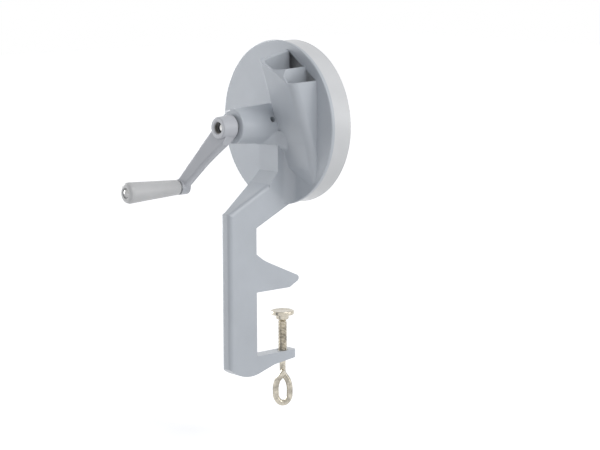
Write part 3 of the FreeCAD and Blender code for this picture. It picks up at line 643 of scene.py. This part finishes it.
class SlicerWheelFastening(bpy.types.Operator):
    """Models the wing nut and the split spring washer, and finishes the flat washer"""

    bl_idname = "slicer.wheel_fastening"
    bl_label = "Wing nut and washers"

    def execute(self, context):
        sizes = context.scene.slicer_sizes
        colours = context.scene.slicer_colours
        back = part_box("wheel_nut")[0][1] / MM
        hub_end = back + 7.0
        hub = spun("wing_nut_hub", [
            (back, 0.0), (back, 6.6), (back + 0.5, 7.0),
            (hub_end - 0.8, 5.75), (hub_end, 5.0), (hub_end, 0.0),
        ], (SHAFT_X, 0, SHAFT_Z), "Y", 64)
        parts = [hub]
        for side in (-1, 1):
            deselect()
            bpy.ops.mesh.primitive_cylinder_add(
                vertices=48, radius=4.6 * MM, depth=sizes.wing_thickness,
                location=((SHAFT_X + side * 9.7) * MM, (hub_end - 0.2) * MM, SHAFT_Z * MM))
            ear = bpy.context.object
            bpy.ops.object.mode_set(mode="EDIT")
            # the ear's inner side is drawn out into the neck that joins the hub
            pick(lambda co, n, s=side: abs(n.z) < 0.5 and co.x * s < -2.6 * MM)
            bpy.ops.mesh.extrude_region_move(
                TRANSFORM_OT_translate={"value": (-side * 3.6 * MM, -1.6 * MM, 0)})
            bpy.ops.transform.resize(value=(1.0, 1.15, 1.25))
            bpy.ops.object.mode_set(mode="OBJECT")
            settle(ear)
            parts.append(ear)
        nut = join(parts, "wing_nut_cast")
        deselect()
        nut.select_set(True)
        bpy.context.view_layer.objects.active = nut
        apply_modifier(nut, "REMESH", mode="VOXEL", voxel_size=0.34 * MM)
        apply_modifier(nut, "SMOOTH", factor=0.5, iterations=6)
        deselect()
        bpy.ops.mesh.primitive_cylinder_add(
            vertices=64, radius=4.2 * MM, depth=20 * MM,
            location=(SHAFT_X * MM, (back + 4) * MM, SHAFT_Z * MM), rotation=(math.pi / 2, 0, 0))
        drill = bpy.context.object
        settle(drill)
        apply_modifier(nut, "BOOLEAN", operation="DIFFERENCE", solver="EXACT", object=drill)
        bpy.data.objects.remove(drill, do_unlink=True)
        soften(nut, 0, angle=45)
        zinc = plated_steel("Zinc_plated_wing_nut", colours.zinc, roughness=0.26)
        give(nut, zinc, "drive", ["wheel_nut"])

        low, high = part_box("spring_washer")
        deselect()
        bpy.ops.mesh.primitive_plane_add(size=1.0 * MM)
        spring = bpy.context.object
        spring.name = "spring_washer_split"
        bpy.ops.object.mode_set(mode="EDIT")
        bpy.ops.mesh.select_all(action="SELECT")
        bpy.ops.transform.resize(value=(2.8, 1.2, 1.0))
        bpy.ops.transform.rotate(value=math.pi / 2, orient_axis="X", center_override=(0, 0, 0))
        bpy.ops.transform.translate(value=(5.8 * MM, 0, 0))
        bpy.ops.mesh.delete(type="ONLY_FACE")
        bpy.ops.object.mode_set(mode="OBJECT")
        apply_modifier(
            spring, "SCREW", axis="Z", angle=math.radians(350), screw_offset=0.5 * MM, iterations=1,
            steps=64, render_steps=64, use_merge_vertices=False)
        bpy.ops.object.mode_set(mode="EDIT")
        bpy.ops.mesh.select_all(action="SELECT")
        bpy.ops.mesh.fill_holes(sides=0)
        bpy.ops.mesh.select_all(action="SELECT")
        bpy.ops.mesh.normals_make_consistent(inside=False)
        bpy.ops.object.mode_set(mode="OBJECT")
        spring.rotation_euler = (-math.pi / 2, 0, 0)
        spring.location = (SHAFT_X * MM, low[1] + 0.65 * MM, SHAFT_Z * MM)
        settle(spring)
        soften(spring, 0.15 * MM)
        give(spring, plated_steel("Zinc_plated_spring", colours.zinc), "drive", ["spring_washer"])
        dress("wheel_washer", plated_steel("Zinc_plated_washer", colours.zinc))
        return {"FINISHED"}


class SlicerClampScrew(bpy.types.Operator):
    """Models the threaded clamp screw with its bent eye"""

    bl_idname = "slicer.clamp_screw"
    bl_label = "Clamp screw"

    def execute(self, context):
        sizes = context.scene.slicer_sizes
        colours = context.scene.slicer_colours
        radius, pitch = sizes.screw_radius / MM, sizes.screw_pitch / MM
        wire = sizes.wire_radius / MM
        axis = (0, SCREW_Y, 0)
        core = radius - 0.66
        top, shoulder, ball = -28.6, -64.6, -25.4
        steps = 12
        head = [
            (ball + 3.0 * math.cos(math.pi * k / steps), 3.0 * math.sin(math.pi * k / steps))
            for k in range(steps + 1) if 3.0 * math.sin(math.pi * k / steps) > 1.9 or k < steps / 2]
        outline = head + [(ball - 2.4, 1.9), (top + 0.1, 1.9), (top, core - 0.7), (top - 0.8, core)]
        outline += [(shoulder + 0.9, core), (shoulder + 0.1, wire + 0.1)]
        outline += [(shoulder - 0.6, wire), (shoulder - 0.6, 0.0)]
        rod = spun("clamp_screw_rod", outline, axis, "Z", 64)
        soften(rod, 0)
        ridge = thread("clamp_screw_thread", axis, "Z", shoulder + 1.0, top - 0.9, radius, pitch)
        soften(ridge, 0)

        # the eye: the rod's wire runs down, round, and up again in front of itself
        loop_top, low = -72.0, -104.5 + wire
        wide = 8.6 - wire
        turn = math.radians(45.0)

        def loop_point(across, z, out=0.0):
            x = math.cos(turn) * across - math.sin(turn) * out
            y = SCREW_Y + math.sin(turn) * across + math.cos(turn) * out
            return Vector((x, y, z)) * MM

        route = [
            loop_point(0.0, shoulder - 0.2), loop_point(0.0, loop_top + 1.5),
            loop_point(0.5, loop_top - 3.5, 0.2),
            loop_point(wide * 0.77, loop_top - 10.5, 0.4), loop_point(wide, low + 10.4, 0.4),
            loop_point(wide * 0.72, low + 2.6, 0.2), loop_point(0.0, low),
            loop_point(-wide * 0.72, low + 2.6, -0.3), loop_point(-wide, low + 10.4, -0.8),
            loop_point(-wide * 0.77, loop_top - 10.5, -2.4), loop_point(-0.6, loop_top - 4.0, -5.7),
            loop_point(1.6, loop_top - 0.5, -5.8),
        ]
        deselect()
        bpy.ops.curve.primitive_bezier_curve_add()
        eye = bpy.context.object
        spline = eye.data.splines[0]
        spline.bezier_points.add(len(route) - 2)
        for point, place in zip(spline.bezier_points, route):
            point.co = place
            point.handle_left_type = "AUTO"
            point.handle_right_type = "AUTO"
        eye.data.dimensions = "3D"
        eye.data.bevel_depth = wire * MM
        eye.data.bevel_resolution = 10
        eye.data.resolution_u = 18
        eye.data.use_fill_caps = True
        eye.data.twist_mode = "MINIMUM"
        bpy.ops.object.convert(target="MESH")
        eye = bpy.context.object
        settle(eye)
        soften(eye, 0.35 * MM, angle=60)
        screw = join([rod, ridge, eye], "clamp_screw_threaded")
        # the nickel's deep dark patches are painted reflections of a dark room, not stains on the plating
        give(screw, plated_steel("Nickel_plated_steel", colours.nickel, roughness=0.14, stain_and_painted_reflection=0.42),
             "screw", ["clamp_screw"])
        return {"FINISHED"}


class SlicerPressurePad(bpy.types.Operator):
    """Models the swivel pad"""

    bl_idname = "slicer.pressure_pad"
    bl_label = "Pressure pad"

    def execute(self, context):
        sizes = context.scene.slicer_sizes
        colours = context.scene.slicer_colours
        radius = sizes.pad_radius / MM
        top, under, foot = -20.5, -23.9, -28.1
        outline = [
            (top - 0.35, 0.0), (top - 0.35, radius - 3.2), (top, radius - 2.6), (top, radius - 0.9),
            (top - 0.25, radius - 0.3), (top - 0.85, radius), (under + 0.5, radius), (under, radius - 0.5),
            (under, 6.2), (under - 0.5, 5.6), (foot + 0.5, 5.4), (foot, 4.9), (foot, 2.95), (foot + 1.1, 2.6),
            (-25.4, 3.08), (-24.2, 2.8), (-23.1, 2.0), (-22.3, 0.0),
        ]
        pad = spun("pressure_pad_turned", outline, (0, SCREW_Y, 0), "Z", 80)
        soften(pad, 0.12 * MM, angle=28)
        nickel = plated_steel("Nickel_plated_pad", colours.nickel, roughness=0.2)
        give(pad, nickel, "pad", ["pressure_pad"])
        return {"FINISHED"}


class SlicerStage(bpy.types.Operator):
    """Sets the floor, the soft light and the camera"""

    bl_idname = "slicer.stage"
    bl_label = "Stage"

    def execute(self, context):
        colours = context.scene.slicer_colours
        scene = context.scene
        deselect()
        bpy.ops.mesh.primitive_plane_add(size=FLOOR_SIZE, location=(0, 0, FLOOR_HEIGHT))
        floor = bpy.context.object
        floor.name = "floor"
        bpy.ops.object.mode_set(mode="EDIT")
        bpy.ops.mesh.select_all(action="SELECT")
        bpy.ops.mesh.subdivide(number_cuts=3)
        bpy.ops.object.mode_set(mode="OBJECT")
        settle(floor)
        pale, tree, shader, place = new_finish("Pale_floor")
        grain = noise(tree, place, 25.0, 3.0)
        # the floor glows only for the eye and in reflections, less near the object, where its shadow falls
        away = add_node(tree, "ShaderNodeVectorMath", {0: place}, operation="LENGTH")
        share = add_node(
            tree, "ShaderNodeMapRange",
            {"Value": away.outputs["Value"], "From Min": GLOW_START, "From Max": GLOW_END,
             "To Min": GLOW_NEAR, "To Max": GLOW_FAR})
        glow = add_node(
            tree, "ShaderNodeMath", {0: seen_rays(tree), 1: share.outputs["Result"]}, operation="MULTIPLY")
        feed(tree, shader, {
            "Base Color": tones(tree, grain, rgba(colours.floor, 0.985), rgba(colours.floor)),
            "Roughness": 0.9,
            "Specular IOR Level": 0.1,
            "Emission Color": (1, 1, 1, 1),
            "Emission Strength": glow.outputs[0],
        })
        floor.data.materials.append(pale)

        world = scene.world or bpy.data.worlds.new("Studio")
        scene.world = world
        world.use_nodes = True
        tree = world.node_tree
        tree.nodes.clear()
        light = add_node(
            tree, "ShaderNodeBackground", {"Color": rgba(linear("#F4F6FA")), "Strength": WORLD_LEVEL})
        white = add_node(tree, "ShaderNodeBackground", {"Color": (1, 1, 1, 1), "Strength": 1.0})
        mix = add_node(
            tree, "ShaderNodeMixShader", {0: seen_rays(tree), 1: light.outputs[0], 2: white.outputs[0]})
        add_node(tree, "ShaderNodeOutputWorld", {"Surface": mix.outputs[0]})

        for name, place, power in LAMPS:
            deselect()
            bpy.ops.object.light_add(type="AREA", location=place)
            lamp = bpy.context.object
            lamp.name = name
            lamp.data.shape = "SQUARE"
            lamp.data.size = LAMP_SIZE
            lamp.data.energy = power
            lamp.rotation_euler = (Vector(LAMP_TARGET) - Vector(place)).to_track_quat("-Z", "Y").to_euler()

        deselect()
        bpy.ops.object.camera_add(location=CAMERA_PLACE)
        camera = bpy.context.object
        camera.rotation_euler = [math.radians(turn) for turn in CAMERA_TURN]
        camera.data.sensor_width = 36.0
        camera.data.lens = CAMERA_LENS
        camera.data.clip_start = 0.05
        camera.data.clip_end = 20.0
        scene.camera = camera

        scene.view_settings.view_transform = "Standard"
        return {"FINISHED"}


PIECES = (
    SlicerCasting, SlicerCrank, SlicerGrip, SlicerShaft, SlicerKnifeWheel, SlicerKnives,
    SlicerWheelFastening, SlicerClampScrew, SlicerPressurePad, SlicerStage,
)


class SlicerPanel(bpy.types.Panel):
    """Lists the slicer's sizes, colours and pieces"""

    bl_idname = "VIEW3D_PT_slicer"
    bl_label = "Bean slicer"
    bl_space_type = "VIEW_3D"
    bl_region_type = "UI"
    bl_category = "Bean slicer"

    def draw(self, context):
        layout = self.layout
        for group in (context.scene.slicer_sizes, context.scene.slicer_colours):
            for name in group.__annotations__:
                layout.prop(group, name)
        for piece in PIECES:
            layout.operator(piece.bl_idname)


CLASSES = (SlicerSizes, SlicerColours) + PIECES + (SlicerPanel,)


def register():
    for made in CLASSES:
        bpy.utils.register_class(made)
    bpy.types.Scene.slicer_sizes = PointerProperty(type=SlicerSizes)
    bpy.types.Scene.slicer_colours = PointerProperty(type=SlicerColours)


def unregister():
    del bpy.types.Scene.slicer_colours
    del bpy.types.Scene.slicer_sizes
    for made in reversed(CLASSES):
        bpy.utils.unregister_class(made)


def main():
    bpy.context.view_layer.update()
    register()
    bpy.ops.slicer.casting()
    bpy.ops.slicer.crank()
    bpy.ops.slicer.grip()
    bpy.ops.slicer.shaft()
    bpy.ops.slicer.knife_wheel()
    bpy.ops.slicer.knives()
    bpy.ops.slicer.wheel_fastening()
    bpy.ops.slicer.clamp_screw()
    bpy.ops.slicer.pressure_pad()
    bpy.ops.slicer.stage()


if __name__ == "__main__":
    main()
